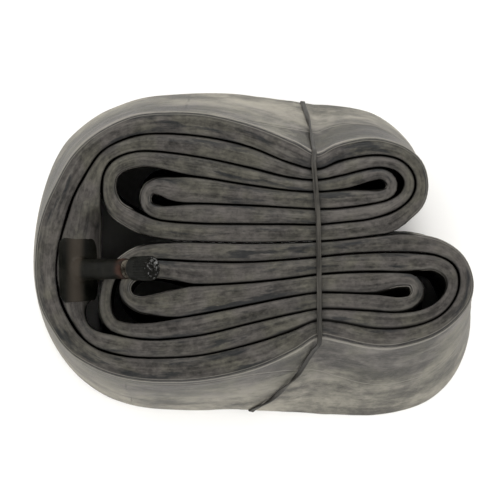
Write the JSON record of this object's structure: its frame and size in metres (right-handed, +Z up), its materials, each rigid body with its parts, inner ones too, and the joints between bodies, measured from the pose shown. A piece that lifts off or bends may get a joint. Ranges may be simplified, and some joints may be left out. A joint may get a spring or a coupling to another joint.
{
  "type": "inner tube",
  "caption": "Bicycle inner tube, folded flat and tied with a rubber band, with a rubber-covered car-type valve, screw cap and sprung valve core.",
  "frame": {"origin": "on the floor under the middle of the folded bundle, which lies on the tube's outer edge", "axes": "+Z up, from the tube's outer edge to its inner edge; +X along the bundle's length, away from the valve; the valve stem leans towards +X"},
  "size_m": [0.2045, 0.1504, 0.0823],
  "materials": {
    "tube_rubber": "matte",
    "boot_rubber": "satin",
    "stem_brass": "satin",
    "core_brass": "satin",
    "core_steel": "satin",
    "seal_rubber": "matte",
    "cap_plastic": "satin",
    "band_rubber": "matte"
  },
  "bodies": {
    "tube": {"tube_body": "tube_rubber", "valve_boot": "boot_rubber", "stem_insert": "stem_brass", "core_plug": "core_brass", "core_barrel": "core_brass", "core_barrel_seal": "seal_rubber", "core_spring": "core_steel", "tie_band": "band_rubber"},
    "pin": {"core_pin": "core_steel", "core_cup": "core_brass", "cup_gasket": "seal_rubber"},
    "cap_seal": {"cap_gasket": "seal_rubber"},
    "cap": {"valve_cap": "cap_plastic"}
  },
  "joints": [
    {"name": "pin_press", "type": "slide", "parent": "tube", "child": "pin", "axis": [-0.7875, -0.0275, -0.6157], "range_m": [0, 0.0012], "stiffness_N_per_m": 500, "deforming": ["core_spring"]},
    {"name": "cap_lift", "type": "slide", "parent": "tube", "child": "cap_seal", "axis": [0.7875, 0.0275, 0.6157], "range_m": [0, 0.00794]},
    {"name": "cap_turn", "type": "hinge", "parent": "cap_seal", "child": "cap", "pos_m": [-0.0472, -0.00622, 0.07233], "axis": [0.7875, 0.0275, 0.6157], "range_deg": [0, 3600]}
  ],
  "couplings": [
    {"joint": "cap_turn", "follows": "cap_lift", "rad_per_m": 7913.3}
  ]
}
